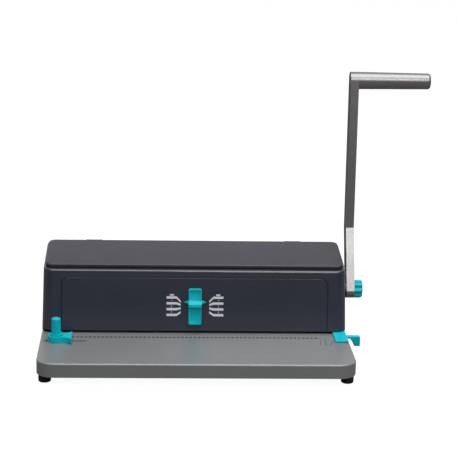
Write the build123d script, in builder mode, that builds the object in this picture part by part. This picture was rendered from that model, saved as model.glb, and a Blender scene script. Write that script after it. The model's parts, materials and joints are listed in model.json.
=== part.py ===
"""Manual comb binding machine: punch, comb opener, housing, lid, lever and guides.

Frame: X to the right, Y to the rear, Z up, millimetres.  The origin lies on the floor at the
centre of the base; the foot of the raked front panel stands on Y = 0.
"""
import math
import os

from build123d import *

os.makedirs("parts", exist_ok=True)

# ---------------------------------------------------------------- driving dimensions
# base
base_width = 350.0
base_depth = 216.0
base_height = 16.0
base_corner = 20.0
base_edge = 2.0
pan_skin = 1.5
floor_plate = 1.2
foot_height = 10.0
foot_radius = 7.0
foot_inset = 18.0
table_z = foot_height + base_height

# housing and lid
housing_width = base_width
housing_depth = 104.0
housing_corner = 12.0
front_rake = 7.9
rear_rake = 2.0
side_taper = 1.35
deck_front_y = 10.0
deck_front_z = table_z + 72.1
deck_slope = 7.5
wall = 2.5
front_wall = 5.0
rim_radius = 2.5
slot_height = 3.0
panel_margin = 23.0
panel_width = housing_width - 2 * panel_margin
panel_height = 64.0
panel_thickness = 2.3
panel_corner = 8.0
panel_groove = 0.9
panel_lip = 4.0
lid_ledge = 4.0
lid_width = housing_width - 2 * lid_ledge
lid_length = 75.0
lid_front_y = 16.0
lid_height = 3.6
lid_edge = 1.5
lid_skin = 1.9
lid_corner = 8.0
lid_gap = 0.9

# punching unit
hole_count = 21
comb_pitch = 14.2875
punch_width = 8.0
punch_depth = 3.0
punch_line_y = 20.0
punch_stroke = 9.0
die_thickness = 6.0
guide_height = 12.0
bar_height = 14.0
bar_depth = 12.0
frame_margin = 18.0
frame_gap = housing_width - 2 * frame_margin
frame_plate = 3.0

# drive
shaft_y = 44.0
shaft_z = 68.0
shaft_radius = 7.0
lever_sweep = 90.0
cam_radius = 14.5
cam_thickness = 4.0
yoke_thickness = 5.0
crank_radius = 10.0
crank_pin_radius = 2.5

# comb opener
bed_z = 84.0
bed_thickness = 1.5
hook_height = 10.0
finger_height = 13.0

# lever
lever_thickness = 9.4
lever_width = 20.0
lever_offset = 2.8
lever_inner_x = housing_width / 2 + lever_offset
lower_rise = 66.0
lower_lean = 25.0
upper_rise = 173.5
upper_lean = 3.0
grip_length = 84.0
grip_radius = 10.0
grip_end_radius = 9.0
knob_radius = 10.7
knob_length = 9.2

# size selector, guides, tray
slider_width = 16.4
slider_length = 42.0
slider_centre = 31.4
slider_travel = 10.0
guide_slot_left = -base_width / 2 + 3.8
guide_slot_right = guide_slot_left + 48.2
guide_slot_y = -29.3
guide_slot_width = 3.4
guide_x = guide_slot_left + 14.6
guide_face_x = guide_x + 17.2
depth_plate_left = housing_width / 2 - 16.0
depth_plate_right = depth_plate_left + 15.0
depth_plate_front = -31.5
stop_margin = 3.0
tray_width = frame_gap - frame_margin
tray_skin = 1.2

# clearances
gap = 0.3
running = 0.05
punch_fit = 0.1
cam_play = 0.5
pin_play = 0.6

# ---------------------------------------------------------------- derived values
rake_tan = math.tan(math.radians(front_rake))
rake_cos = math.cos(math.radians(front_rake))
rake_sin = math.sin(math.radians(front_rake))
deck_tan = math.tan(math.radians(deck_slope))
deck_cos = math.cos(math.radians(deck_slope))
deck_sin = math.sin(math.radians(deck_slope))
half_sweep = math.radians(lever_sweep / 2)
cam_throw = punch_stroke / (2 * math.sin(half_sweep))
hook_travel = 2 * crank_radius * math.sin(half_sweep)
skin_z = table_z - pan_skin
plate_top_z = foot_height + floor_plate
frame_x = frame_gap / 2
guide_bottom_z = table_z + slot_height
guide_top_z = guide_bottom_z + guide_height
punch_tip_z = guide_bottom_z + 1.0
bar_bottom_z = guide_top_z + punch_stroke + 1.0
bar_top_z = bar_bottom_z + bar_height
punch_top_z = bar_bottom_z + 9.0
die_bottom_z = table_z - die_thickness
yoke_x = frame_x - 2.5 - yoke_thickness
bed_top_z = bed_z + bed_thickness
comb_xs = [(i - (hole_count - 1) / 2) * comb_pitch for i in range(hole_count)]
face_plane = Plane(origin=(0, 0, table_z), x_dir=(1, 0, 0), z_dir=(0, -rake_cos, rake_sin))


def deck_height(y):
    """Height of the housing's sloping deck at the depth y."""
    return deck_front_z + (y - deck_front_y) * deck_tan


def face_y(z):
    """Depth of the raked front face at the height z."""
    return (z - table_z) * rake_tan


def side_x(z):
    """Half width of the tapered housing at the height z."""
    return housing_width / 2 - (z - table_z) * math.tan(math.radians(side_taper))


deck_plane = Plane(
    origin=(0, deck_front_y, deck_front_z), x_dir=(1, 0, 0), z_dir=(0, -deck_sin, deck_cos)
)
lid_plane = Plane(
    origin=(0, lid_front_y, deck_height(lid_front_y) + lid_gap / deck_cos),
    x_dir=(1, 0, 0),
    z_dir=(0, -deck_sin, deck_cos),
)

# ---------------------------------------------------------------- base
tray_opening_z = die_bottom_z
tray_opening = tray_width + 2.0
die_half = frame_x
die_flange = 6.0
die_flange_y = bar_depth / 2 + 6.0
land_y = 8.0
mark_pitch = comb_pitch / 3
mark_count = 59
mark_y = -14.5
boss_radius = 5.0
screw_radius = 1.6
die_head_height = 1.2
die_head_radius = screw_radius + die_head_height
foot_places = [
    (sx * (base_width / 2 - foot_radius - 2.0), sy * (base_depth / 2 - foot_inset))
    for sx in (-1, 1)
    for sy in (-1, 1)
]
housing_boss_x = housing_width / 2 - 7.0
housing_boss_ys = (shaft_y - 2.0, housing_depth - 26.0)
housing_boss_places = [(sx * housing_boss_x, y) for sx in (-1, 1) for y in housing_boss_ys]
frame_foot = 8.0
frame_foot_front = 50.0
frame_foot_back = 70.0
frame_foot_thickness = 2.0
frame_screw_places = [
    (sx * (frame_x + frame_plate + 4.5), y)
    for sx in (-1, 1)
    for y in (frame_foot_front + 6, frame_foot_back - 6)
]
die_screw_places = [(sx * (die_half + 3), punch_line_y + dy) for sx in (-1, 1) for dy in (-8, 8)]
spring_y = shaft_y + 3.0
spring_x = yoke_x + yoke_thickness / 2

with BuildPart() as base_pan:
    with BuildSketch(Plane.XY.offset(foot_height)):
        RectangleRounded(base_width, base_depth, base_corner)
    extrude(amount=base_height)
    fillet(base_pan.faces().sort_by(Axis.Z)[-1].edges(), base_edge)
    with BuildSketch(Plane.XY.offset(foot_height)):
        RectangleRounded(base_width - 2 * pan_skin, base_depth - 2 * pan_skin, base_corner - pan_skin)
    extrude(amount=base_height - pan_skin, mode=Mode.SUBTRACT)
    with BuildSketch(Plane.XY.offset(plate_top_z)):
        with Locations(*foot_places):
            Circle(boss_radius)
    extrude(amount=skin_z - plate_top_z)
    with BuildSketch(Plane.XY.offset(plate_top_z)):
        with Locations(*foot_places):
            Circle(screw_radius + running)
    extrude(amount=8.0, mode=Mode.SUBTRACT)
    with BuildSketch(Plane.XY.offset(skin_z)):
        with Locations((0, punch_line_y)):
            Rectangle(2 * die_half + 2 * gap, 2 * land_y + 2 * gap)
        with Locations(((guide_slot_left + guide_slot_right) / 2, guide_slot_y)):
            SlotOverall(guide_slot_right - guide_slot_left, guide_slot_width)
        with GridLocations(mark_pitch, 0, mark_count, 1):
            with Locations((0, mark_y)):
                Rectangle(2.3, 2.6)
        with Locations(*housing_boss_places, *frame_screw_places):
            Circle(2.0 + running)
        with Locations(*die_screw_places):
            Circle(screw_radius + running)
    extrude(amount=pan_skin, mode=Mode.SUBTRACT)
    with BuildSketch(Plane.XY.offset(table_z)):
        with Locations(*die_screw_places):
            Circle(die_head_radius + running)
    extrude(amount=-die_head_height, taper=45, mode=Mode.SUBTRACT)
    with BuildSketch(Plane.XZ.offset(-base_depth / 2)):
        with Locations((0, (foot_height + tray_opening_z) / 2)):
            Rectangle(tray_opening, tray_opening_z - foot_height)
    extrude(amount=2 * pan_skin, mode=Mode.SUBTRACT)
base_pan.part.label = "base_pan"
export_step(base_pan.part, "parts/base_pan.step")

with BuildPart() as bottom_plate:
    plate_width = base_width - 2 * pan_skin - 2 * gap
    plate_depth = base_depth - 2 * pan_skin - 2 * gap
    with BuildSketch(Plane.XY.offset(foot_height)):
        RectangleRounded(plate_width, plate_depth, base_corner - pan_skin - gap)
        with Locations(*foot_places):
            Circle(screw_radius + running, mode=Mode.SUBTRACT)
    extrude(amount=floor_plate)
bottom_plate.part.label = "bottom_plate"
export_step(bottom_plate.part, "parts/bottom_plate.step")

foot_recess = 4.0
with BuildPart() as rubber_feet:
    with BuildSketch():
        with Locations(*foot_places):
            Circle(foot_radius)
    extrude(amount=foot_height)
    fillet(rubber_feet.faces().filter_by(Plane.XY).group_by(Axis.Z)[0].edges(), 1.6)
    with BuildSketch():
        with Locations(*foot_places):
            Circle(3.6)
    extrude(amount=foot_recess, mode=Mode.SUBTRACT)
    with BuildSketch(Plane.XY.offset(foot_recess)):
        with Locations(*foot_places):
            Circle(screw_radius + running)
    extrude(amount=foot_height - foot_recess, mode=Mode.SUBTRACT)
rubber_feet.part.label = "rubber_feet"
export_step(rubber_feet.part, "parts/rubber_feet.step")

with BuildPart() as foot_screws:
    with BuildSketch(Plane.XY.offset(foot_recess - 2.2)):
        with Locations(*foot_places):
            Circle(3.2)
    extrude(amount=2.2)
    with BuildSketch(Plane.XY.offset(foot_recess)):
        with Locations(*foot_places):
            Circle(screw_radius)
    extrude(amount=plate_top_z + 6.0 - foot_recess)
foot_screws.part.label = "foot_screws"
export_step(foot_screws.part, "parts/foot_screws.step")

# ---------------------------------------------------------------- chip tray
tray_front_y = 4.0
tray_bottom_z = plate_top_z + gap
tray_top_z = die_bottom_z - 0.5
tray_back_y = base_depth / 2
tray_travel = 95.0

with BuildPart() as chip_tray:
    tray_length = tray_back_y - tray_front_y
    with BuildSketch(Plane.XY.offset(tray_bottom_z)):
        with Locations((0, tray_front_y + tray_length / 2)):
            RectangleRounded(tray_width, tray_length, 1.0)
    extrude(amount=tray_top_z - tray_bottom_z)
    with BuildSketch(Plane.XY.offset(tray_bottom_z + tray_skin)):
        with Locations((0, tray_front_y + tray_length / 2)):
            Rectangle(tray_width - 2 * tray_skin, tray_length - 2 * tray_skin)
    extrude(amount=tray_top_z, mode=Mode.SUBTRACT)
    with BuildSketch(Plane.XY.offset(tray_bottom_z + 2.0)):
        with Locations((0, tray_back_y + 1.5)):
            SlotOverall(60, 7)
    extrude(amount=2.0)
    with BuildSketch(Plane.XY.offset(tray_bottom_z + tray_skin)):
        with Locations((0, tray_back_y - tray_skin - 4)):
            Rectangle(80, 8)
    extrude(amount=tray_top_z, mode=Mode.SUBTRACT)
chip_tray.part.label = "chip_tray"
export_step(chip_tray.part, "parts/chip_tray.step")

# ---------------------------------------------------------------- punching unit
with BuildPart() as die_plate:
    with BuildSketch(Plane.XY.offset(die_bottom_z)):
        with Locations((0, punch_line_y)):
            Rectangle(2 * (die_half + die_flange), 2 * die_flange_y)
    extrude(amount=skin_z - die_bottom_z)
    with BuildSketch(Plane.XY.offset(skin_z)):
        with Locations((0, punch_line_y)):
            Rectangle(2 * die_half, 2 * land_y)
    extrude(amount=pan_skin)
    with BuildSketch(Plane.XY.offset(die_bottom_z)):
        with Locations(*[(x, punch_line_y) for x in comb_xs]):
            Rectangle(punch_width + 2 * punch_fit, punch_depth + 2 * punch_fit)
        with Locations(*die_screw_places):
            Circle(screw_radius + running)
    extrude(amount=die_thickness, mode=Mode.SUBTRACT)
die_plate.part.label = "die_plate"
export_step(die_plate.part, "parts/die_plate.step")

with BuildPart() as die_screws:
    with BuildSketch(Plane.XY.offset(table_z)):
        with Locations(*die_screw_places):
            Circle(die_head_radius)
    extrude(amount=-die_head_height, taper=45)
    with BuildSketch(Plane.XY.offset(die_bottom_z)):
        with Locations(*die_screw_places):
            Circle(screw_radius)
    extrude(amount=die_thickness - die_head_height)
die_screws.part.label = "die_screws"
export_step(die_screws.part, "parts/die_screws.step")

cap_screw_radius = 2.0
guide_screw_z = guide_bottom_z + guide_height / 2
tie_rod_y = 86.0
tie_rod_z = 46.0
tie_rod_radius = 5.0
bed_screw_y = 76.0
bed_screw_z = bed_z - 5.0
side_screw_places = [
    (punch_line_y, guide_screw_z),
    (tie_rod_y, tie_rod_z),
    (bed_screw_y, bed_screw_z),
]
screw_reach = 10.0

with BuildPart() as punch_guide:
    with BuildSketch(Plane.XY.offset(guide_bottom_z)):
        with Locations((0, punch_line_y)):
            Rectangle(frame_gap, 2 * land_y)
        with Locations(*[(x, punch_line_y) for x in comb_xs]):
            Rectangle(
                punch_width + 2 * punch_fit, punch_depth + 2 * punch_fit, mode=Mode.SUBTRACT
            )
    extrude(amount=guide_height)
    for side in (-1, 1):
        with BuildSketch(Plane.YZ.offset(side * (frame_x - screw_reach))):
            with Locations((punch_line_y, guide_screw_z)):
                Circle(cap_screw_radius + running)
        extrude(amount=side * screw_reach, mode=Mode.SUBTRACT)
punch_guide.part.label = "punch_guide"
export_step(punch_guide.part, "parts/punch_guide.step")

with BuildPart() as punches:
    with BuildSketch(Plane.XY.offset(punch_tip_z)):
        with Locations(*[(x, punch_line_y) for x in comb_xs]):
            Rectangle(punch_width, punch_depth)
    extrude(amount=punch_top_z - punch_tip_z)
punches.part.label = "punches"
export_step(punches.part, "parts/punches.step")

bar_screw_places = [(punch_line_y - 3.5, bar_bottom_z + 4), (punch_line_y - 3.5, bar_top_z - 4)]
bar_screw_radius = 1.5
with BuildPart() as punch_bar:
    with BuildSketch(Plane.XY.offset(bar_bottom_z)):
        with Locations((0, punch_line_y)):
            Rectangle(2 * yoke_x, bar_depth)
    extrude(amount=bar_height)
    chamfer(punch_bar.edges().filter_by(Axis.X).group_by(Axis.Z)[-1], 1.0)
    with BuildSketch(Plane.XY.offset(bar_bottom_z)):
        with Locations(*[(x, punch_line_y) for x in comb_xs]):
            Rectangle(punch_width + 2 * running, punch_depth + 2 * running)
    extrude(amount=punch_top_z - bar_bottom_z, mode=Mode.SUBTRACT)
    for side in (-1, 1):
        with BuildSketch(Plane.YZ.offset(side * (yoke_x - 4))):
            with Locations(*bar_screw_places):
                Circle(bar_screw_radius + running)
        extrude(amount=side * 4, mode=Mode.SUBTRACT)
punch_bar.part.label = "punch_bar"
export_step(punch_bar.part, "parts/punch_bar.step")

# eccentric cams in the windows of two yokes lift and press the punch bar
cam_y = -cam_throw * math.cos(half_sweep)
cam_z = cam_throw * math.sin(half_sweep)
window_front = shaft_y - cam_throw - cam_radius - cam_play
window_back = shaft_y + cam_y + cam_radius + cam_play
window_bottom = shaft_z + cam_z - cam_radius - cam_play
window_top = shaft_z + cam_z + cam_radius + cam_play
yoke_border = 4.5
yoke_front = punch_line_y - bar_depth / 2

with BuildPart() as punch_yokes:
    for side in (-1, 1):
        with BuildSketch(Plane.YZ.offset(side * yoke_x)):
            with BuildLine():
                Polyline(
                    (yoke_front, bar_bottom_z),
                    (window_back + yoke_border, bar_bottom_z),
                    (window_back + yoke_border, window_top + yoke_border),
                    (window_front - yoke_border, window_top + yoke_border),
                    (window_front - yoke_border, bar_top_z + 4),
                    (yoke_front, bar_top_z),
                    close=True,
                )
            make_face()
            with Locations(((window_front + window_back) / 2, (window_bottom + window_top) / 2)):
                Rectangle(
                    window_back - window_front, window_top - window_bottom, mode=Mode.SUBTRACT
                )
            with Locations(*bar_screw_places):
                Circle(bar_screw_radius + running, mode=Mode.SUBTRACT)
        extrude(amount=side * yoke_thickness)
punch_yokes.part.label = "punch_yokes"
export_step(punch_yokes.part, "parts/punch_yokes.step")

with BuildPart() as yoke_screws:
    for side in (-1, 1):
        with BuildSketch(Plane.YZ.offset(side * (yoke_x - 4))):
            with Locations(*bar_screw_places):
                Circle(bar_screw_radius)
        extrude(amount=side * (4 + yoke_thickness))
        with BuildSketch(Plane.YZ.offset(side * (yoke_x + yoke_thickness))):
            with Locations(*bar_screw_places):
                Circle(2.4)
        extrude(amount=side * 1.4)
yoke_screws.part.label = "yoke_screws"
export_step(yoke_screws.part, "parts/yoke_screws.step")

wire_radius = 0.6
spring_radius = 4.0
spring_bottom = table_z + gap
spring_top = bar_bottom_z - gap
spring_turns = 6
spring_rise = spring_top - spring_bottom - 2 * wire_radius
with BuildPart() as return_springs:
    for side in (-1, 1):
        start = (side * spring_x, spring_y, spring_bottom + wire_radius)
        with BuildLine() as coil:
            Helix(spring_rise / spring_turns, spring_rise, spring_radius, center=start)
        with BuildSketch(Plane(origin=coil.line @ 0, z_dir=coil.line % 0)):
            Circle(wire_radius)
        sweep(path=coil.line, is_frenet=True)
return_springs.part.label = "return_springs"
export_step(return_springs.part, "parts/return_springs.step")

with BuildPart() as spring_posts:
    with BuildSketch(Plane.XY.offset(table_z)):
        with Locations((-spring_x, spring_y), (spring_x, spring_y)):
            Circle(spring_radius - wire_radius - 2 * gap)
    extrude(amount=8.0)
    chamfer(spring_posts.faces().filter_by(Plane.XY).group_by(Axis.Z)[-1].edges(), 0.8)
spring_posts.part.label = "spring_posts"
export_step(spring_posts.part, "parts/spring_posts.step")

# ---------------------------------------------------------------- side frames
bushing_radius = 9.5
frame_back = 96.0
frame_top = 92.0
notch_back = 36.0


def frame_form(side):
    """Side plate with its turned-out foot, on the left (side -1) or the right (side 1)."""
    with BuildPart() as form:
        with BuildSketch(Plane.YZ.offset(side * frame_x)):
            with BuildLine():
                Polyline(
                    (punch_line_y - land_y, guide_bottom_z + 1),
                    (notch_back, guide_bottom_z + 1),
                    (notch_back, table_z),
                    (frame_back, table_z),
                    (frame_back, frame_top),
                    (face_y(frame_top) + front_wall + 3, frame_top),
                    (punch_line_y - land_y, bar_bottom_z),
                    close=True,
                )
            make_face()
            with Locations((shaft_y, shaft_z)):
                Circle(bushing_radius, mode=Mode.SUBTRACT)
            with Locations(*side_screw_places):
                Circle(cap_screw_radius + running, mode=Mode.SUBTRACT)
            with Locations((74, 60)):
                RectangleRounded(22, 14, 3, mode=Mode.SUBTRACT)
        extrude(amount=side * frame_plate)
        foot_middle = (frame_foot_front + frame_foot_back) / 2
        foot_x = side * (frame_x + frame_plate + frame_foot / 2)
        with BuildSketch(Plane.XY.offset(table_z)):
            with Locations((foot_x, foot_middle)):
                Rectangle(frame_foot, frame_foot_back - frame_foot_front)
        extrude(amount=frame_foot_thickness)
        with BuildSketch(Plane.XY.offset(table_z)):
            with Locations(*[p for p in frame_screw_places if p[0] * side > 0]):
                Circle(2.0 + running)
        extrude(amount=frame_foot_thickness, mode=Mode.SUBTRACT)
    return form.part


left_form = frame_form(-1)
with BuildPart() as left_side_frame:
    add(left_form)
left_side_frame.part.label = "left_side_frame"
export_step(left_side_frame.part, "parts/left_side_frame.step")

right_form = frame_form(1)
with BuildPart() as right_side_frame:
    add(right_form)
right_side_frame.part.label = "right_side_frame"
export_step(right_side_frame.part, "parts/right_side_frame.step")

with BuildPart() as frame_screws:
    with BuildSketch(Plane.XY.offset(table_z + frame_foot_thickness)):
        with Locations(*frame_screw_places):
            Circle(3.4)
    extrude(amount=2.6)
    with BuildSketch(Plane.XY.offset(table_z - 4)):
        with Locations(*frame_screw_places):
            Circle(2.0)
    extrude(amount=4 + frame_foot_thickness)
frame_screws.part.label = "frame_screws"
export_step(frame_screws.part, "parts/frame_screws.step")

with BuildPart() as frame_cap_screws:
    for side in (-1, 1):
        with BuildSketch(Plane.YZ.offset(side * (frame_x - screw_reach + 0.5))):
            with Locations(*side_screw_places):
                Circle(cap_screw_radius)
        extrude(amount=side * (screw_reach - 0.5 + frame_plate))
        with BuildSketch(Plane.YZ.offset(side * (frame_x + frame_plate))):
            with Locations(*side_screw_places):
                Circle(3.5)
        extrude(amount=side * 3.0)
frame_cap_screws.part.label = "frame_cap_screws"
export_step(frame_cap_screws.part, "parts/frame_cap_screws.step")

with BuildPart() as frame_tie_rod:
    with BuildSketch(Plane.YZ.offset(-frame_x)):
        with Locations((tie_rod_y, tie_rod_z)):
            Circle(tie_rod_radius)
    extrude(amount=frame_gap)
    for side in (-1, 1):
        with BuildSketch(Plane.YZ.offset(side * (frame_x - screw_reach))):
            with Locations((tie_rod_y, tie_rod_z)):
                Circle(cap_screw_radius + running)
        extrude(amount=side * screw_reach, mode=Mode.SUBTRACT)
frame_tie_rod.part.label = "frame_tie_rod"
export_step(frame_tie_rod.part, "parts/frame_tie_rod.step")

bushing_flange = 1.5
with BuildPart() as shaft_bushings:
    for side in (-1, 1):
        with BuildSketch(Plane.YZ.offset(side * (frame_x - bushing_flange))):
            with Locations((shaft_y, shaft_z)):
                Circle(bushing_radius + 2.5)
        extrude(amount=side * bushing_flange)
        with BuildSketch(Plane.YZ.offset(side * frame_x)):
            with Locations((shaft_y, shaft_z)):
                Circle(bushing_radius)
        extrude(amount=side * frame_plate)
        with BuildSketch(Plane.YZ.offset(side * (frame_x - bushing_flange))):
            with Locations((shaft_y, shaft_z)):
                Circle(shaft_radius + running)
        extrude(amount=side * (bushing_flange + frame_plate), mode=Mode.SUBTRACT)
shaft_bushings.part.label = "shaft_bushings"
export_step(shaft_bushings.part, "parts/shaft_bushings.step")

# ---------------------------------------------------------------- drive shaft
clip_x = -(frame_x + frame_plate + 0.4)
clip_thickness = 1.2
groove_radius = shaft_radius - 1.0
shaft_left = clip_x - clip_thickness - 2.0
shaft_square = 9.8
square_end = lever_inner_x + lever_thickness - 1.0
stud_radius = 3.0
stud_inner_x = lever_inner_x - 14.8

with BuildPart() as drive_shaft:
    with BuildSketch(Plane.YZ.offset(shaft_left)):
        with Locations((shaft_y, shaft_z)):
            Circle(shaft_radius)
    extrude(amount=lever_inner_x - gap - shaft_left)
    with BuildSketch(Plane.YZ.offset(lever_inner_x - gap)):
        with Locations((shaft_y, shaft_z)):
            Rectangle(shaft_square, shaft_square, rotation=-lower_lean)
    extrude(amount=square_end - lever_inner_x + gap)
    with BuildSketch(Plane.YZ.offset(clip_x - clip_thickness - 0.1)):
        with Locations((shaft_y, shaft_z)):
            Circle(shaft_radius + 1)
            Circle(groove_radius, mode=Mode.SUBTRACT)
    extrude(amount=clip_thickness + 0.2, mode=Mode.SUBTRACT)
    with BuildSketch(Plane.YZ.offset(stud_inner_x - 2)):
        with Locations((shaft_y, shaft_z)):
            Circle(stud_radius + running)
    extrude(amount=square_end - stud_inner_x + 2, mode=Mode.SUBTRACT)
drive_shaft.part.label = "drive_shaft"
export_step(drive_shaft.part, "parts/drive_shaft.step")

with BuildPart() as shaft_clip:
    with BuildSketch(Plane.YZ.offset(clip_x - clip_thickness)):
        with Locations((shaft_y, shaft_z)):
            Circle(shaft_radius + 3)
            Circle(groove_radius + 0.02, mode=Mode.SUBTRACT)
            with Locations((0, -shaft_radius)):
                Rectangle(8, 8, mode=Mode.SUBTRACT)
    extrude(amount=clip_thickness)
shaft_clip.part.label = "shaft_clip"
export_step(shaft_clip.part, "parts/shaft_clip.step")

cam_x = yoke_x + (yoke_thickness - cam_thickness) / 2
with BuildPart() as eccentric_cams:
    for side in (-1, 1):
        with BuildSketch(Plane.YZ.offset(side * cam_x)):
            with Locations((shaft_y + cam_y, shaft_z + cam_z)):
                Circle(cam_radius)
            with Locations((shaft_y, shaft_z)):
                Circle(shaft_radius + 0.02, mode=Mode.SUBTRACT)
        extrude(amount=side * cam_thickness)
eccentric_cams.part.label = "eccentric_cams"
export_step(eccentric_cams.part, "parts/eccentric_cams.step")

crank_x = frame_x - 31.0
crank_thickness = 5.0
crank_pin_length = 6.0
crank_y = shaft_y + crank_radius * math.sin(half_sweep)
crank_z = shaft_z + crank_radius * math.cos(half_sweep)
with BuildPart() as opener_cranks:
    for side in (-1, 1):
        with BuildSketch(Plane.YZ.offset(side * crank_x)):
            with BuildLine():
                CenterArc((shaft_y, shaft_z), shaft_radius + 3.5, 0, 360)
                CenterArc((crank_y, crank_z), crank_pin_radius + 1.2, 0, 360)
            make_hull()
            with Locations((shaft_y, shaft_z)):
                Circle(shaft_radius + 0.02, mode=Mode.SUBTRACT)
        extrude(amount=side * crank_thickness)
        with BuildSketch(Plane.YZ.offset(side * (crank_x + crank_thickness))):
            with Locations((crank_y, crank_z)):
                Circle(crank_pin_radius)
        extrude(amount=side * crank_pin_length)
opener_cranks.part.label = "opener_cranks"
export_step(opener_cranks.part, "parts/opener_cranks.step")

# ---------------------------------------------------------------- comb opener
bed_front = 24.0
bed_wide_front = 63.0
bed_back = 88.0
bed_half = yoke_x - 2.0
hook_plate_front = bed_front + bed_thickness + hook_travel + 0.6
hook_y = 65.0
hook_thickness = 2.5
lug_thickness = 3.0
lug_x = crank_x + crank_thickness + 1.5
lug_half = crank_pin_radius + pin_play + 3.0
slot_centre_front = hook_plate_front + 4.0
shoulder_y = slot_centre_front
pin_radius = 2.5
finger_y = hook_y + 2.0
bed_pin_xs = (-104.0, -36.0, 36.0, 104.0)
finger_screw_y = finger_y + 6.5
finger_width = 4.0
finger_offset = 3.4
finger_screw_places = [(x, finger_screw_y) for x in bed_pin_xs]

with BuildPart() as comb_bed:
    with BuildSketch(Plane.XY.offset(bed_z)):
        with Locations((0, (bed_front + bed_back) / 2)):
            Rectangle(2 * bed_half, bed_back - bed_front)
        with Locations((0, (bed_wide_front + bed_back) / 2)):
            Rectangle(frame_gap, bed_back - bed_wide_front)
        slot_front = crank_y - lug_half - hook_travel - 0.5
        slot_back = crank_y + lug_half + 0.5
        slot_places = [
            (side * (lug_x + lug_thickness / 2), (slot_front + slot_back) / 2) for side in (-1, 1)
        ]
        with Locations(*slot_places):
            Rectangle(lug_thickness + 1.2, slot_back - slot_front, mode=Mode.SUBTRACT)
        with Locations(*[(x, shoulder_y) for x in bed_pin_xs]):
            Circle(screw_radius + running, mode=Mode.SUBTRACT)
        with Locations(*finger_screw_places):
            Circle(screw_radius + running, mode=Mode.SUBTRACT)
    extrude(amount=bed_thickness)
    with BuildSketch(Plane.XY.offset(bed_top_z)):
        with Locations((0, bed_front + bed_thickness / 2)):
            Rectangle(2 * bed_half, bed_thickness)
    extrude(amount=10.0)
    for side in (-1, 1):
        with BuildSketch(Plane.XY.offset(bed_z - 10.0)):
            with Locations((side * (frame_x - 1.0), (bed_wide_front + bed_back) / 2)):
                Rectangle(2.0, bed_back - bed_wide_front)
        extrude(amount=10.0)
        with BuildSketch(Plane.YZ.offset(side * (frame_x - 3.0))):
            with Locations((bed_screw_y, bed_screw_z)):
                Circle(cap_screw_radius + running)
        extrude(amount=side * 3.0, mode=Mode.SUBTRACT)
comb_bed.part.label = "comb_bed"
export_step(comb_bed.part, "parts/comb_bed.step")

with BuildPart() as comb_fingers:
    with BuildSketch(Plane.XY.offset(bed_top_z)):
        with Locations((0, finger_y + 5)):
            Rectangle(frame_gap - 14, 2 * (finger_screw_y - finger_y) - 3)
        with Locations(*finger_screw_places):
            Circle(screw_radius + running, mode=Mode.SUBTRACT)
    extrude(amount=1.2)
    with BuildSketch(Plane.XZ.offset(-finger_y)):
        for x in comb_xs:
            with Locations((x + finger_offset, bed_top_z + finger_height / 2)):
                RectangleRounded(finger_width, finger_height, 1.2)
            with Locations((x + finger_offset, bed_top_z + 1)):
                Rectangle(finger_width, 2.0)
    extrude(amount=-1.5)
comb_fingers.part.label = "comb_fingers"
export_step(comb_fingers.part, "parts/comb_fingers.step")

with BuildPart() as finger_screws:
    with BuildSketch(Plane.XY.offset(bed_top_z + 1.2)):
        with Locations(*finger_screw_places):
            Circle(2.8)
    extrude(amount=1.6)
    with BuildSketch(Plane.XY.offset(bed_z - 2)):
        with Locations(*finger_screw_places):
            Circle(screw_radius)
    extrude(amount=bed_thickness + 3.2)
finger_screws.part.label = "finger_screws"
export_step(finger_screws.part, "parts/finger_screws.step")

hook_plate_z = bed_top_z + gap
hook_plate_top = hook_plate_z + 1.5
with BuildPart() as hook_plate:
    with BuildSketch(Plane.XY.offset(hook_plate_z)):
        with Locations((0, (hook_plate_front + hook_y) / 2)):
            Rectangle(2 * (bed_half - 2), hook_y - hook_plate_front)
        for x in bed_pin_xs:
            with Locations((x, slot_centre_front + hook_travel / 2)):
                SlotCenterToCenter(
                    hook_travel, 2 * (pin_radius + gap), rotation=90, mode=Mode.SUBTRACT
                )
    extrude(amount=hook_plate_top - hook_plate_z)
    for x in comb_xs:
        with BuildSketch(Plane.YZ.offset(x - finger_offset - 1.5)):
            with BuildLine():
                Polyline(
                    (hook_y, hook_plate_z),
                    (hook_y, hook_plate_z + hook_height),
                    (hook_y - 6.5, hook_plate_z + hook_height - 0.8),
                    (hook_y - 6.5, hook_plate_z + hook_height - 2.4),
                    (hook_y - hook_thickness, hook_plate_z + hook_height - 2.0),
                    (hook_y - hook_thickness, hook_plate_z),
                    close=True,
                )
            make_face()
        extrude(amount=3.0)
    for side in (-1, 1):
        with BuildSketch(Plane.YZ.offset(side * lug_x)):
            lug_bottom = shaft_z + shaft_radius + 0.6
            with Locations((crank_y, (lug_bottom + hook_plate_z) / 2)):
                Rectangle(2 * lug_half, hook_plate_z - lug_bottom)
            with Locations((crank_y, lug_bottom)):
                Rectangle(
                    2 * (crank_pin_radius + pin_play),
                    2 * (shaft_z + crank_radius + crank_pin_radius + pin_play - lug_bottom),
                    mode=Mode.SUBTRACT,
                )
        extrude(amount=side * lug_thickness)
hook_plate.part.label = "hook_plate"
export_step(hook_plate.part, "parts/hook_plate.step")

with BuildPart() as shoulder_screws:
    with BuildSketch(Plane.XY.offset(bed_z - 3)):
        with Locations(*[(x, shoulder_y) for x in bed_pin_xs]):
            Circle(screw_radius)
    extrude(amount=bed_thickness + 3)
    with BuildSketch(Plane.XY.offset(bed_top_z)):
        with Locations(*[(x, shoulder_y) for x in bed_pin_xs]):
            Circle(pin_radius)
    extrude(amount=hook_plate_top + gap - bed_top_z)
    with BuildSketch(Plane.XY.offset(hook_plate_top + gap)):
        with Locations(*[(x, shoulder_y) for x in bed_pin_xs]):
            Circle(pin_radius + 1.5)
    extrude(amount=1.6)
shoulder_screws.part.label = "shoulder_screws"
export_step(shoulder_screws.part, "parts/shoulder_screws.step")

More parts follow.
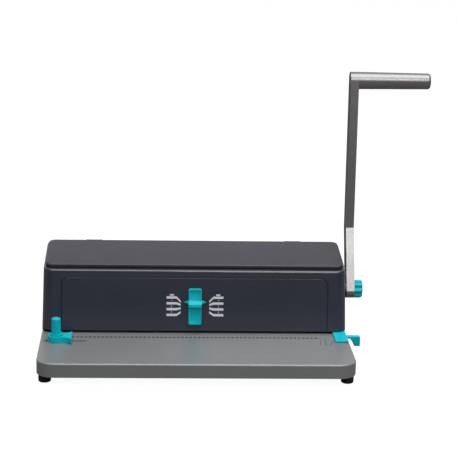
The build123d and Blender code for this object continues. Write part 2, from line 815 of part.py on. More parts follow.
# ---------------------------------------------------------------- housing
def housing_form(side_inset, front_inset, rear_inset, top_inset, corner):
    """Block of the housing's tapered form, drawn in by the given insets."""
    top_z = deck_height(housing_depth) + 4
    with BuildPart() as form:
        for z in (table_z, top_z):
            front = face_y(z) + front_inset / rake_cos
            rear = housing_depth - (z - table_z) * math.tan(math.radians(rear_rake)) - rear_inset
            with BuildSketch(Plane.XY.offset(z)):
                with Locations((0, (front + rear) / 2)):
                    RectangleRounded(2 * (side_x(z) - side_inset), rear - front, corner)
        loft()
        split(bisect_by=deck_plane.offset(-top_inset), keep=Keep.BOTTOM)
    return form.part


def panel_outline(grow, bottom, top):
    """Front panel outline in the plane of the face, grown outwards, from bottom to top."""
    height = top + grow - bottom
    with BuildSketch() as outline:
        with Locations((0, bottom + height / 2)):
            Rectangle(panel_width + 2 * grow, height)
        fillet(outline.vertices().group_by(Axis.Y)[-1], panel_corner + grow)
    return outline.sketch


opening_front_y = 22.0
opening_back_y = 86.0
opening_half = 148.0
hinge_back = 4.8
hinge_up = -0.35
knuckle_radius = 1.8
ear_radius = knuckle_radius + 0.2
arm_thickness = 2.6
knuckle_width = 12.0
hinge_pin_radius = 0.9
ear_thickness = 2.5
hinge_xs = (-118.0, 118.0)
hinge_origin = lid_plane.from_local_coords((0, lid_length + hinge_back, hinge_up))
lid_offset = (lid_front_y - deck_front_y) / deck_cos
hinge_plane = Plane(origin=hinge_origin, x_dir=(1, 0, 0), z_dir=lid_plane.z_dir)
hinge_side = Plane(origin=hinge_origin, x_dir=hinge_plane.y_dir, z_dir=(1, 0, 0))
panel_bottom = slot_height / rake_cos
shaft_hole_radius = shaft_radius + 1.2

outer_form = housing_form(0, 0, 0, 0, housing_corner)
inner_form = housing_form(wall, front_wall, wall, wall, housing_corner - wall)
rebate_outline = panel_outline(panel_groove, -2, panel_height)
lip_outline = panel_outline(-panel_lip, -2, panel_height)

with BuildPart() as housing:
    add(outer_form)
    rim = housing.edges().filter_by(lambda e: abs(deck_plane.to_local_coords(e.center()).Z) < 0.01)
    fillet(rim, rim_radius)
    add(inner_form, mode=Mode.SUBTRACT)
    with BuildSketch(Plane.XY.offset(table_z)):
        with Locations((0, housing_corner / 2)):
            Rectangle(housing_width + 10, housing_corner + 4)
    extrude(amount=slot_height, mode=Mode.SUBTRACT)
    with BuildSketch(face_plane):
        add(rebate_outline)
    extrude(amount=-panel_thickness, mode=Mode.SUBTRACT)
    with BuildSketch(face_plane):
        add(lip_outline)
    extrude(amount=-front_wall - 2, mode=Mode.SUBTRACT)
    with BuildSketch(deck_plane.offset(-wall - 1)):
        opening_middle = ((opening_front_y + opening_back_y) / 2 - deck_front_y) / deck_cos
        with Locations((0, opening_middle)):
            RectangleRounded(2 * opening_half, (opening_back_y - opening_front_y) / deck_cos, 6)
    extrude(amount=wall + 2, mode=Mode.SUBTRACT)
    with BuildSketch(deck_plane.offset(-wall - 1)):
        pocket_front = lid_length + lid_offset - 1.6
        pocket_back = lid_length + lid_offset + hinge_back + knuckle_radius + 0.6
        with Locations(*[(x, (pocket_front + pocket_back) / 2) for x in hinge_xs]):
            Rectangle(knuckle_width + 2 * gap, pocket_back - pocket_front)
    extrude(amount=wall + 2, mode=Mode.SUBTRACT)
    with BuildSketch(Plane.YZ.offset(housing_width / 2 - 8)):
        with Locations((shaft_y, shaft_z)):
            Circle(shaft_hole_radius)
    extrude(amount=10, mode=Mode.SUBTRACT)
    with BuildSketch(Plane.XY.offset(table_z)):
        with Locations(*housing_boss_places):
            Circle(boss_radius)
    extrude(amount=14)
    with BuildSketch(Plane.XY.offset(table_z)):
        with Locations(*housing_boss_places):
            Circle(2.0 + running)
    extrude(amount=11, mode=Mode.SUBTRACT)
    for x in hinge_xs:
        for side in (-1, 1):
            ear_x = x + side * (knuckle_width / 2 + gap)
            ear_side = Plane(origin=(ear_x, 0, 0), x_dir=(0, 1, 0), z_dir=(1, 0, 0))
            hinge_yz = ear_side.to_local_coords(hinge_origin)
            with BuildSketch(ear_side):
                with Locations((hinge_yz.X, hinge_yz.Y)):
                    Circle(ear_radius)
                    with Locations((0, -2.4)):
                        Rectangle(2 * ear_radius, 4.8)
            extrude(amount=side * ear_thickness)
            with BuildSketch(ear_side):
                with Locations((hinge_yz.X, hinge_yz.Y)):
                    Circle(hinge_pin_radius)
            extrude(amount=side * ear_thickness, mode=Mode.SUBTRACT)
housing.part.label = "housing"
export_step(housing.part, "parts/housing.step")

with BuildPart() as housing_screws:
    head_z = skin_z - 2.0
    with BuildSketch(Plane.XY.offset(head_z)):
        with Locations(*housing_boss_places):
            Circle(3.4)
    extrude(amount=2.0)
    with BuildSketch(Plane.XY.offset(skin_z)):
        with Locations(*housing_boss_places):
            Circle(2.0)
    extrude(amount=pan_skin + 10)
housing_screws.part.label = "housing_screws"
export_step(housing_screws.part, "parts/housing_screws.step")

# ---------------------------------------------------------------- front panel and size selector
neck_width = 5.4
neck_length = 8.0
panel_form = panel_outline(0, panel_bottom, panel_height)

with BuildPart() as front_panel:
    with BuildSketch(face_plane):
        add(panel_form)
        slot_length = neck_length + slider_travel + 2 * gap
        with Locations((0, slider_centre - slider_travel / 2)):
            Rectangle(neck_width + 2 * gap, slot_length, mode=Mode.SUBTRACT)
    extrude(amount=-panel_thickness)
front_panel.part.label = "front_panel"
export_step(front_panel.part, "parts/front_panel.step")

slider_thickness = 3.0
ridge_low = slider_centre - 0.2
ridge_high = slider_centre + 7.0
pointer_centre = slider_centre + 5.2
pointer_reach = 13.0
slider_front = face_plane.offset(gap)

with BuildPart() as size_slider:
    with BuildSketch(slider_front):
        with Locations((0, slider_centre)):
            RectangleRounded(slider_width, slider_length, 2.0)
    extrude(amount=slider_thickness)
    fillet(size_slider.faces().sort_by(Axis.Y)[0].edges(), 0.8)
    with BuildSketch(slider_front.offset(slider_thickness)):
        upper = (ridge_high + slider_centre + slider_length / 2 - 2.2) / 2
        lower = (ridge_low + slider_centre - slider_length / 2 + 2.2) / 2
        with Locations((0, upper)):
            Rectangle(slider_width - 3.2, slider_centre + slider_length / 2 - 2.2 - ridge_high)
        with Locations((0, lower)):
            Rectangle(slider_width - 3.2, ridge_low - slider_centre + slider_length / 2 - 2.2)
    extrude(amount=-0.9, mode=Mode.SUBTRACT)
    for side in (-1, 1):
        with BuildSketch(slider_front):
            with BuildLine():
                Polyline(
                    (side * (slider_width / 2 - 1), pointer_centre + 2.6),
                    (side * pointer_reach, pointer_centre),
                    (side * (slider_width / 2 - 1), pointer_centre - 2.6),
                    close=True,
                )
            make_face()
        extrude(amount=1.6)
    with BuildSketch(Plane.YZ.offset(-slider_width / 2)):
        ridge_points = [
            slider_front.from_local_coords((0, ridge_low, slider_thickness - 1)),
            slider_front.from_local_coords((0, ridge_low, slider_thickness + 3.6)),
            slider_front.from_local_coords((0, ridge_low + 3.2, slider_thickness + 3.6)),
            slider_front.from_local_coords((0, ridge_high, slider_thickness - 0.2)),
            slider_front.from_local_coords((0, ridge_high, slider_thickness - 1)),
        ]
        with BuildLine():
            Polyline(*[(p.Y, p.Z) for p in ridge_points], close=True)
        make_face()
    extrude(amount=slider_width)
    with BuildSketch(slider_front):
        with Locations((0, slider_centre)):
            Rectangle(neck_width, neck_length)
    extrude(amount=-(panel_thickness + 2 * gap))
size_slider.part.label = "size_slider"
export_step(size_slider.part, "parts/size_slider.step")

with BuildPart() as slider_clip:
    with BuildSketch(face_plane.offset(-panel_thickness - gap)):
        with Locations((0, slider_centre)):
            RectangleRounded(18, 16, 2)
    extrude(amount=-1.5)
slider_clip.part.label = "slider_clip"
export_step(slider_clip.part, "parts/slider_clip.step")

# ---------------------------------------------------------------- lid
with BuildPart() as lid:
    with BuildSketch(lid_plane):
        with Locations((0, lid_length / 2)):
            RectangleRounded(lid_width, lid_length, lid_corner)
    extrude(amount=lid_height)
    top_edges = lid.faces().sort_by(lambda f: lid_plane.to_local_coords(f.center()).Z)[-1].edges()
    fillet(top_edges, lid_edge)
    with BuildSketch(lid_plane):
        with Locations((0, lid_length / 2)):
            RectangleRounded(lid_width - 2 * lid_skin, lid_length - 2 * lid_skin, lid_corner - lid_skin)
    extrude(amount=lid_height - lid_skin, mode=Mode.SUBTRACT)
    for x in hinge_xs:
        with BuildSketch(hinge_side.offset(x - knuckle_width / 2)):
            Circle(knuckle_radius)
            with Locations((-hinge_back / 2 - 0.5, 0)):
                Rectangle(hinge_back + 1, arm_thickness)
        extrude(amount=knuckle_width)
        with BuildSketch(hinge_side.offset(x - knuckle_width / 2)):
            Circle(hinge_pin_radius + running)
        extrude(amount=knuckle_width, mode=Mode.SUBTRACT)
lid.part.label = "lid"
export_step(lid.part, "parts/lid.step")

with BuildPart() as lid_hinge_pins:
    for x in hinge_xs:
        pin_half = knuckle_width / 2 + gap + ear_thickness
        with BuildSketch(hinge_side.offset(x - pin_half)):
            Circle(hinge_pin_radius)
        extrude(amount=2 * pin_half)
lid_hinge_pins.part.label = "lid_hinge_pins"
export_step(lid_hinge_pins.part, "parts/lid_hinge_pins.step")

# ---------------------------------------------------------------- lever
bend_y = shaft_y + lower_rise * math.tan(math.radians(lower_lean))
bend_z = shaft_z + lower_rise
grip_y = bend_y + upper_rise * math.tan(math.radians(upper_lean))
grip_z = bend_z + upper_rise
lever_outer_x = lever_inner_x + lever_thickness
spacer_inner_x = side_x(shaft_z) + 2 * gap
bar_radius = lever_width / 2


def segment_outline(start, end):
    """Straight band of the lever's width from start to end."""
    across = Vector(end[1] - start[1], start[0] - end[0]).normalized() * bar_radius
    first, last = Vector(*start), Vector(*end)
    return [first + across, last + across, last - across, first - across]


with BuildPart() as lever_arm:
    with BuildSketch(Plane.YZ.offset(lever_inner_x)):
        with Locations((shaft_y, shaft_z), (bend_y, bend_z), (grip_y, grip_z)):
            Circle(bar_radius)
        with BuildLine():
            Polyline(*segment_outline((shaft_y, shaft_z), (bend_y, bend_z)), close=True)
        make_face()
        with BuildLine():
            Polyline(*segment_outline((bend_y, bend_z), (grip_y, grip_z)), close=True)
        make_face()
    extrude(amount=lever_thickness)
    faces_x = lever_arm.faces().filter_by(Axis.X).sort_by(Axis.X)
    chamfer(faces_x[0].edges() + faces_x[-1].edges(), 0.8)
    with BuildSketch(Plane.YZ.offset(lever_inner_x)):
        with Locations((shaft_y, shaft_z)):
            Rectangle(shaft_square + 0.2, shaft_square + 0.2, rotation=-lower_lean)
        with Locations((grip_y, grip_z)):
            Circle(4.0 + running)
    extrude(amount=lever_thickness, mode=Mode.SUBTRACT)
lever_arm.part.label = "lever_arm"
export_step(lever_arm.part, "parts/lever_arm.step")

with BuildPart() as hub_spacer:
    with BuildSketch(Plane.YZ.offset(spacer_inner_x)):
        with Locations((shaft_y, shaft_z)):
            Circle(bar_radius - 0.6)
            Circle(shaft_radius + 0.1, mode=Mode.SUBTRACT)
    extrude(amount=lever_inner_x - spacer_inner_x)
hub_spacer.part.label = "hub_spacer"
export_step(hub_spacer.part, "parts/hub_spacer.step")

grip_start_x = lever_outer_x
bolt_end_x = grip_start_x + 60.0
grip_axis = Plane(origin=(0, grip_y, grip_z), x_dir=(1, 0, 0), z_dir=(0, -1, 0))
with BuildPart() as lever_grip:
    with BuildSketch(grip_axis):
        with BuildLine():
            Polyline(
                (grip_start_x, 0),
                (grip_start_x, grip_radius),
                (grip_start_x + grip_length, grip_end_radius),
                (grip_start_x + grip_length, 0),
                close=True,
            )
        make_face()
    revolve(axis=Axis((0, grip_y, grip_z), (1, 0, 0)))
    fillet(lever_grip.faces().sort_by(Axis.X)[-1].edges(), 3.5)
    with BuildSketch(Plane.YZ.offset(grip_start_x)):
        with Locations((grip_y, grip_z)):
            Circle(4.0 + running)
    extrude(amount=bolt_end_x + 1 - grip_start_x, mode=Mode.SUBTRACT)
lever_grip.part.label = "lever_grip"
export_step(lever_grip.part, "parts/lever_grip.step")

with BuildPart() as grip_bolt:
    with BuildSketch(Plane.YZ.offset(lever_inner_x + 1)):
        with Locations((grip_y, grip_z)):
            Circle(4.0)
    extrude(amount=bolt_end_x - lever_inner_x - 1)
grip_bolt.part.label = "grip_bolt"
export_step(grip_bolt.part, "parts/grip_bolt.step")

knob_inner_x = lever_outer_x + gap
lobe_radius = 2.7
lobe_count = 8
with BuildPart() as star_knob:
    with BuildSketch(Plane.YZ.offset(knob_inner_x)):
        with Locations((shaft_y, shaft_z)):
            Circle(knob_radius - lobe_radius + 0.6)
            with PolarLocations(knob_radius - lobe_radius, lobe_count):
                Circle(lobe_radius)
    extrude(amount=knob_length)
    chamfer(star_knob.faces().sort_by(Axis.X)[-1].edges(), 1.4)
    with BuildSketch(Plane.YZ.offset(knob_inner_x)):
        with Locations((shaft_y, shaft_z)):
            Circle(stud_radius)
    extrude(amount=knob_length - 3, mode=Mode.SUBTRACT)
star_knob.part.label = "star_knob"
export_step(star_knob.part, "parts/star_knob.step")

with BuildPart() as knob_stud:
    with BuildSketch(Plane.YZ.offset(stud_inner_x)):
        with Locations((shaft_y, shaft_z)):
            Circle(stud_radius)
    extrude(amount=knob_inner_x + knob_length - 3 - stud_inner_x)
knob_stud.part.label = "knob_stud"
export_step(knob_stud.part, "parts/knob_stud.step")

# ---------------------------------------------------------------- depth adjuster
plate_z = table_z + gap
plate_top = plate_z + 2.0
stop_front = punch_line_y + punch_depth / 2 + stop_margin
stop_width = 4.0
plate_step_y = 8.0
stem_y = -12.7
stem_width = 7.0
tab_left = base_width / 2 + 5.0
tab_right = tab_left + 9.0
tab_bottom = table_z - 9.0

with BuildPart() as depth_adjuster:
    with BuildSketch(Plane.XY.offset(plate_z)):
        plate_middle_x = (depth_plate_left + depth_plate_right) / 2
        with Locations((plate_middle_x, (depth_plate_front + plate_step_y) / 2)):
            Rectangle(depth_plate_right - depth_plate_left, plate_step_y - depth_plate_front)
        tongue_width = housing_width / 2 - wall - 3.0 - depth_plate_left
        with Locations((depth_plate_left + tongue_width / 2, stop_front / 2)):
            Rectangle(tongue_width, stop_front)
        with Locations(((depth_plate_right + tab_right) / 2, stem_y)):
            Rectangle(tab_right - depth_plate_right, stem_width)
    extrude(amount=plate_top - plate_z)
    with BuildSketch(Plane.XZ.offset(-(stem_y + stem_width / 2))):
        with BuildLine():
            Polyline(
                (tab_left - 4, plate_top),
                (tab_right, plate_top),
                (tab_right, tab_bottom),
                (tab_left + 2.5, tab_bottom),
                (tab_left, tab_bottom + 5),
                (tab_left - 1.5, plate_z - 1.5),
                (tab_left - 4, plate_z),
                close=True,
            )
        make_face()
    extrude(amount=stem_width)
    fillet(depth_adjuster.edges().filter_by(Axis.Y).group_by(Axis.X)[-1], 1.2)
depth_adjuster.part.label = "depth_adjuster"
export_step(depth_adjuster.part, "parts/depth_adjuster.step")

with BuildPart() as depth_stop_bar:
    stop_left = -frame_x + 2
    with BuildSketch(Plane.XY.offset(plate_z)):
        with Locations(((stop_left + depth_plate_right - 2) / 2, stop_front + stop_width / 2)):
            Rectangle(depth_plate_right - 2 - stop_left, stop_width)
    extrude(amount=slot_height - 2 * gap)
depth_stop_bar.part.label = "depth_stop_bar"
export_step(depth_stop_bar.part, "parts/depth_stop_bar.step")

# ---------------------------------------------------------------- edge guide
guide_z = table_z + gap
guide_body_height = 6.5
lobe_r = 9.3
fish_half = 16.0
guide_screw_radius = 1.5
lug_length = 8.0
collar_height = 2.0
collar_radius = 7.2
post_radius = 5.4
knob_bottom = guide_z + guide_body_height + gap
knob_top = table_z + 27.0
flute_count = 16

with BuildPart() as edge_guide:
    with BuildSketch(Plane.XY.offset(guide_z)):
        with Locations((guide_x, guide_slot_y)):
            Circle(lobe_r)
        with BuildLine():
            rear_wave = ThreePointArc(
                (guide_x + lobe_r / 2, guide_slot_y + lobe_r * math.sqrt(0.75)),
                (guide_face_x - 7.5, guide_slot_y + 7.8),
                (guide_face_x, guide_slot_y + fish_half),
            )
            front_wave = ThreePointArc(
                (guide_x + lobe_r / 2, guide_slot_y - lobe_r * math.sqrt(0.75)),
                (guide_face_x - 7.5, guide_slot_y - 7.8),
                (guide_face_x, guide_slot_y - fish_half),
            )
            Line(rear_wave @ 1, front_wave @ 1)
            Line(rear_wave @ 0, front_wave @ 0)
        make_face()
    extrude(amount=guide_body_height)
    with BuildSketch(Plane.XY.offset(guide_z)):
        with Locations((guide_x, guide_slot_y)):
            Rectangle(lug_length, guide_slot_width - 2 * gap)
    extrude(amount=-pan_skin)
    with BuildSketch(Plane.XY.offset(skin_z)):
        with Locations((guide_x, guide_slot_y)):
            Circle(guide_screw_radius + running)
    extrude(amount=guide_body_height + 3, mode=Mode.SUBTRACT)
edge_guide.part.label = "edge_guide"
export_step(edge_guide.part, "parts/edge_guide.step")

clamp_top = skin_z - gap
with BuildPart() as guide_clamp_plate:
    with BuildSketch(Plane.XY.offset(clamp_top - 2.0)):
        with Locations((guide_x, guide_slot_y)):
            RectangleRounded(14, 12, 2)
            Circle(guide_screw_radius + running, mode=Mode.SUBTRACT)
    extrude(amount=2.0)
guide_clamp_plate.part.label = "guide_clamp_plate"
export_step(guide_clamp_plate.part, "parts/guide_clamp_plate.step")

with BuildPart() as guide_knob:
    with BuildSketch(Plane.XZ.offset(-guide_slot_y)):
        with BuildLine():
            Polyline(
                (guide_x, knob_bottom),
                (guide_x + collar_radius, knob_bottom),
                (guide_x + collar_radius, knob_bottom + collar_height),
                (guide_x + post_radius, knob_bottom + collar_height),
                (guide_x + post_radius - 0.3, knob_top - 1.0),
                (guide_x + post_radius - 1.3, knob_top),
                (guide_x, knob_top),
                close=True,
            )
        make_face()
    revolve(axis=Axis((guide_x, guide_slot_y, 0), (0, 0, 1)))
    with BuildSketch(Plane.XY.offset(knob_bottom + collar_height)):
        with Locations((guide_x, guide_slot_y)):
            with PolarLocations(post_radius + 0.2, flute_count):
                Circle(0.5)
    extrude(amount=knob_top - knob_bottom - collar_height - 2.2, mode=Mode.SUBTRACT)
    with BuildSketch(Plane.XY.offset(knob_bottom)):
        with Locations((guide_x, guide_slot_y)):
            Circle(guide_screw_radius)
    extrude(amount=10, mode=Mode.SUBTRACT)
guide_knob.part.label = "guide_knob"
export_step(guide_knob.part, "parts/guide_knob.step")

with BuildPart() as guide_screw:
    with BuildSketch(Plane.XY.offset(clamp_top - 4.0)):
        with Locations((guide_x, guide_slot_y)):
            Circle(guide_screw_radius)
    extrude(amount=knob_bottom + 10 - clamp_top + 4.0)
guide_screw.part.label = "guide_screw"
export_step(guide_screw.part, "parts/guide_screw.step")

print("cam throw", round(cam_throw, 4), "hook travel", round(hook_travel, 4))
print("hinge axis", hinge_origin)
print("grip axis", round(grip_y, 3), round(grip_z, 3))
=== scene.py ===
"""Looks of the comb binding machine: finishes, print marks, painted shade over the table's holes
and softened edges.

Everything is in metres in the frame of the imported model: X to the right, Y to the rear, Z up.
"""

import json
import math

import bmesh
import bpy
from mathutils import Matrix, Vector


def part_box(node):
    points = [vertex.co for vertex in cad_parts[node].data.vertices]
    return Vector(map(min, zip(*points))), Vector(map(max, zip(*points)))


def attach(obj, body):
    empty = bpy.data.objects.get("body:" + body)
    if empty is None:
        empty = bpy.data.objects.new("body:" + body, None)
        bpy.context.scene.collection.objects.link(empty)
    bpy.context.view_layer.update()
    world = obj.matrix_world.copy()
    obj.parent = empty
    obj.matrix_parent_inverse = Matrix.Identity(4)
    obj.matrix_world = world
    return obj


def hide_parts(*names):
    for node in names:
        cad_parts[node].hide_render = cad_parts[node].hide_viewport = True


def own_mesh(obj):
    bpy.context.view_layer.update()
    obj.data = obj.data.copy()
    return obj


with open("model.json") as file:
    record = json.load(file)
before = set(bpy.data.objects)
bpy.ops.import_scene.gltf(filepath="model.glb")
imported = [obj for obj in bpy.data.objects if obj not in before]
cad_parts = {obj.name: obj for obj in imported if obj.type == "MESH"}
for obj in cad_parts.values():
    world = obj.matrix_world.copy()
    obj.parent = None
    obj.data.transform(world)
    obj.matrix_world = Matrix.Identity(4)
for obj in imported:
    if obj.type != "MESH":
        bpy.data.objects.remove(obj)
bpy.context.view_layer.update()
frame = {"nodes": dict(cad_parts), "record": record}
nodes = frame["nodes"]
bodies = frame["record"]["behaviour"]["bodies"]
body_of_node = {node: body for body, members in bodies.items() for node in members}

MM = 0.001
SKIN = 0.06 * MM  # print marks and the dashes of painted shade stand this much proud of the part they lie on
WELD = 0.002 * MM  # corners closer than this are one corner
FLAT = math.radians(0.4)  # faces that meet at less than this are one flat face

# ---------------------------------------------------------------- colours (linear)
TABLE_GREY = (0.272, 0.282, 0.290)
LEVER_SILVER = (0.30, 0.292, 0.290)
HOUSING_BLUE_BLACK = (0.026, 0.031, 0.050)
LID_GREY = (0.038, 0.037, 0.050)
TURQUOISE = (0.000, 0.500, 0.585)
TRAY_BLACK = (0.018, 0.018, 0.020)
FOOT_BLACK = (0.013, 0.011, 0.010)
PRINT_SILVER = (0.74, 0.76, 0.80)
# dark of the table's print lines and of the painted shade over the table's holes
PRINT_AND_HOLE_SHADE_DARK = (0.006, 0.006, 0.007)
ZINC = (0.55, 0.56, 0.57)
STEEL = (0.46, 0.46, 0.47)
SPRING = (0.36, 0.36, 0.37)
BRASS = (0.58, 0.40, 0.15)


# ---------------------------------------------------------------- finishes
def new_finish(name):
    """An empty material with its shader and the object's own coordinates."""
    material = bpy.data.materials.new(name)
    material.use_nodes = True
    tree = material.node_tree
    shader = tree.nodes["Principled BSDF"]
    place = tree.nodes.new("ShaderNodeTexCoord")
    return material, tree, shader, place.outputs["Object"]


def grain(tree, place, scale, detail, stretch=None):
    """A noise pattern in object space, drawn out along an axis if stretch is given."""
    if stretch:
        mapping = tree.nodes.new("ShaderNodeMapping")
        mapping.inputs["Scale"].default_value = stretch
        tree.links.new(place, mapping.inputs["Vector"])
        place = mapping.outputs["Vector"]
    noise = tree.nodes.new("ShaderNodeTexNoise")
    noise.inputs["Scale"].default_value = scale
    noise.inputs["Detail"].default_value = detail
    tree.links.new(place, noise.inputs["Vector"])
    return noise.outputs["Fac"]


def between(tree, factor, low, high):
    """The factor's middle range spread from low to high."""
    spread = tree.nodes.new("ShaderNodeMapRange")
    spread.inputs["From Min"].default_value = 0.3
    spread.inputs["From Max"].default_value = 0.7
    spread.inputs["To Min"].default_value = low
    spread.inputs["To Max"].default_value = high
    tree.links.new(factor, spread.inputs["Value"])
    return spread.outputs["Result"]


def tint(tree, factor, colour, low, high):
    """The colour darkened and lightened between two levels by a pattern."""
    mix = tree.nodes.new("ShaderNodeMix")
    mix.data_type = "RGBA"
    mix.inputs["A"].default_value = (*[c * low for c in colour], 1)
    mix.inputs["B"].default_value = (*[min(1, c * high) for c in colour], 1)
    tree.links.new(between(tree, factor, 0, 1), mix.inputs["Factor"])
    return mix.outputs["Result"]


def relief(tree, height, strength, distance):
    """Bump from a pattern."""
    bump = tree.nodes.new("ShaderNodeBump")
    bump.inputs["Strength"].default_value = strength
    bump.inputs["Distance"].default_value = distance
    tree.links.new(height, bump.inputs["Height"])
    return bump.outputs["Normal"]


def edge_wear(tree, place, amount):
    """Bright flecks where the surface bends outwards, broken up by noise."""
    shape = tree.nodes.new("ShaderNodeNewGeometry")
    fleck = tree.nodes.new("ShaderNodeMath")
    fleck.operation = "MULTIPLY"
    ridge = tree.nodes.new("ShaderNodeMapRange")
    ridge.inputs["From Min"].default_value = 0.58
    ridge.inputs["From Max"].default_value = 0.70
    ridge.inputs["To Max"].default_value = amount
    tree.links.new(shape.outputs["Pointiness"], ridge.inputs["Value"])
    tree.links.new(ridge.outputs["Result"], fleck.inputs[0])
    tree.links.new(between(tree, grain(tree, place, 900, 6), 0, 1), fleck.inputs[1])
    return fleck.outputs["Value"]


def moulded_plastic(name, colour, roughness, texture, coat=0.0, specular=0.5, gloss=0.16):
    """Injection-moulded plastic: fine spark-eroded grain, faint clouding and handling marks."""
    material, tree, shader, place = new_finish(name)
    clouds = grain(tree, place, 14, 3)
    fine = grain(tree, place, 2600, 2)
    tree.links.new(tint(tree, clouds, colour, 0.93, 1.07), shader.inputs["Base Color"])
    smears = between(tree, grain(tree, place, 60, 5), roughness - 0.02, roughness + 0.03)
    tree.links.new(smears, shader.inputs["Roughness"])
    tree.links.new(relief(tree, fine, texture, 0.00012), shader.inputs["Normal"])
    shader.inputs["Coat Weight"].default_value = coat
    shader.inputs["Coat Roughness"].default_value = gloss
    shader.inputs["Specular IOR Level"].default_value = specular
    return material


def metallic_paint(name, colour, roughness, metallic, orange_peel=0.05):
    """Sprayed metallic paint: flake sparkle, orange peel and worn edges."""
    material, tree, shader, place = new_finish(name)
    flakes = grain(tree, place, 5200, 1)
    clouds = grain(tree, place, 9, 3)
    flaked = tint(tree, flakes, colour, 0.90, 1.10)
    clouded = tree.nodes.new("ShaderNodeMix")
    clouded.data_type = "RGBA"
    clouded.blend_type = "MULTIPLY"
    clouded.inputs["Factor"].default_value = 1.0
    tree.links.new(flaked, clouded.inputs["A"])
    tree.links.new(tint(tree, clouds, (0.97, 0.97, 0.97), 0.95, 1.03), clouded.inputs["B"])
    worn = tree.nodes.new("ShaderNodeMix")
    worn.data_type = "RGBA"
    worn.inputs["B"].default_value = (*[min(1, c * 1.6) for c in colour], 1)
    tree.links.new(edge_wear(tree, place, 0.35), worn.inputs["Factor"])
    tree.links.new(clouded.outputs["Result"], worn.inputs["A"])
    tree.links.new(worn.outputs["Result"], shader.inputs["Base Color"])
    rubbed = between(tree, grain(tree, place, 45, 5), roughness - 0.02, roughness + 0.02)
    tree.links.new(rubbed, shader.inputs["Roughness"])
    peel = grain(tree, place, 700, 2)
    tree.links.new(relief(tree, peel, orange_peel, 0.0002), shader.inputs["Normal"])
    shader.inputs["Metallic"].default_value = metallic
    return material


def brushed_metal(name, colour, roughness, stretch):
    """Bare metal with fine lines along one axis and darker stains."""
    material, tree, shader, place = new_finish(name)
    lines = grain(tree, place, 260, 6, stretch)
    tree.links.new(tint(tree, lines, colour, 0.86, 1.08), shader.inputs["Base Color"])
    polish = between(tree, lines, roughness - 0.06, roughness + 0.1)
    tree.links.new(polish, shader.inputs["Roughness"])
    tree.links.new(relief(tree, lines, 0.08, 0.0001), shader.inputs["Normal"])
    shader.inputs["Metallic"].default_value = 1.0
    return material


def foot_rubber(name, colour):
    """Matt moulded rubber with a dusty bloom."""
    material, tree, shader, place = new_finish(name)
    bloom = grain(tree, place, 180, 6)
    tree.links.new(tint(tree, bloom, colour, 0.8, 1.5), shader.inputs["Base Color"])
    tree.links.new(between(tree, bloom, 0.62, 0.8), shader.inputs["Roughness"])
    tree.links.new(relief(tree, grain(tree, place, 1500, 3), 0.2, 0.0002), shader.inputs["Normal"])
    return material


def ink_and_shade_finish(name, colour):
    """Screen-print ink, also laid as painted shade over the table's holes: slightly uneven cover
    and sheen.
    """
    material, tree, shader, place = new_finish(name)
    cover = grain(tree, place, 1400, 4)
    tree.links.new(tint(tree, cover, colour, 0.88, 1.05), shader.inputs["Base Color"])
    tree.links.new(between(tree, cover, 0.55, 0.70), shader.inputs["Roughness"])
    return material


finishes = {
    "base_paint": metallic_paint("base_satin_paint", TABLE_GREY, 0.34, 0.30),
    "lever_paint": metallic_paint("lever_silver_paint", LEVER_SILVER, 0.35, 0.80, 0.008),
    "housing_plastic": moulded_plastic(
        "housing_fine_grain", HOUSING_BLUE_BLACK, 0.33, 0.03, coat=1.0, gloss=0.06
    ),
    "lid_plastic": moulded_plastic("lid_fine_grain", LID_GREY, 0.40, 0.10, coat=0.12),
    "turquoise_plastic": moulded_plastic(
        "turquoise_moulding", TURQUOISE, 0.40, 0.04, specular=0.22
    ),
    "tray_plastic": moulded_plastic("tray_moulding", TRAY_BLACK, 0.45, 0.12),
    "black_rubber": foot_rubber("foot_rubber", FOOT_BLACK),
    "sheet_steel": brushed_metal("zinc_plated_sheet", ZINC, 0.38, (1, 12, 12)),
    "ground_steel": brushed_metal("ground_tool_steel", STEEL, 0.28, (30, 1, 30)),
    "spring_steel": brushed_metal("oiled_spring_steel", SPRING, 0.30, (6, 6, 6)),
    "zinc_screw": brushed_metal("bright_zinc_screws", ZINC, 0.24, (5, 5, 5)),
    "bushing_brass": brushed_metal("turned_brass", BRASS, 0.26, (20, 4, 4)),
}
silver_print = ink_and_shade_finish("silver_scale_print", PRINT_SILVER)
# one dark ink for the table's print lines and for the painted shade that darkens its holes
dark_print_and_hole_shade = ink_and_shade_finish("dark_table_print_and_hole_shade", PRINT_AND_HOLE_SHADE_DARK)
slots = {row["node"]: row["material_slot"] for row in frame["record"]["subparts"]}
for node, solid in nodes.items():
    solid.data.materials.clear()
    solid.data.materials.append(finishes[slots[node]])


# ---------------------------------------------------------------- making pieces
def finish_piece(form, name, body, material, smooth=30):
    """Turns a bmesh into a named piece that rides on a body."""
    bmesh.ops.recalc_face_normals(form, faces=form.faces)
    mesh = bpy.data.meshes.new(name)
    form.to_mesh(mesh)
    form.free()
    mesh.shade_smooth()
    mesh.set_sharp_from_angle(angle=math.radians(smooth))
    mesh.materials.append(material)
    piece = bpy.data.objects.new(name, mesh)
    bpy.context.scene.collection.objects.link(piece)
    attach(piece, body)
    return piece


def rounded(piece, width, segments):
    """Rounds the sharp edges of a piece."""
    rounding = piece.modifiers.new("rounded_edges", "BEVEL")
    rounding.width = width
    rounding.segments = segments
    rounding.limit_method = "ANGLE"
    rounding.angle_limit = math.radians(32)
    rounding.harden_normals = True
    rounding.use_clamp_overlap = True
    rounding.miter_outer = "MITER_ARC"


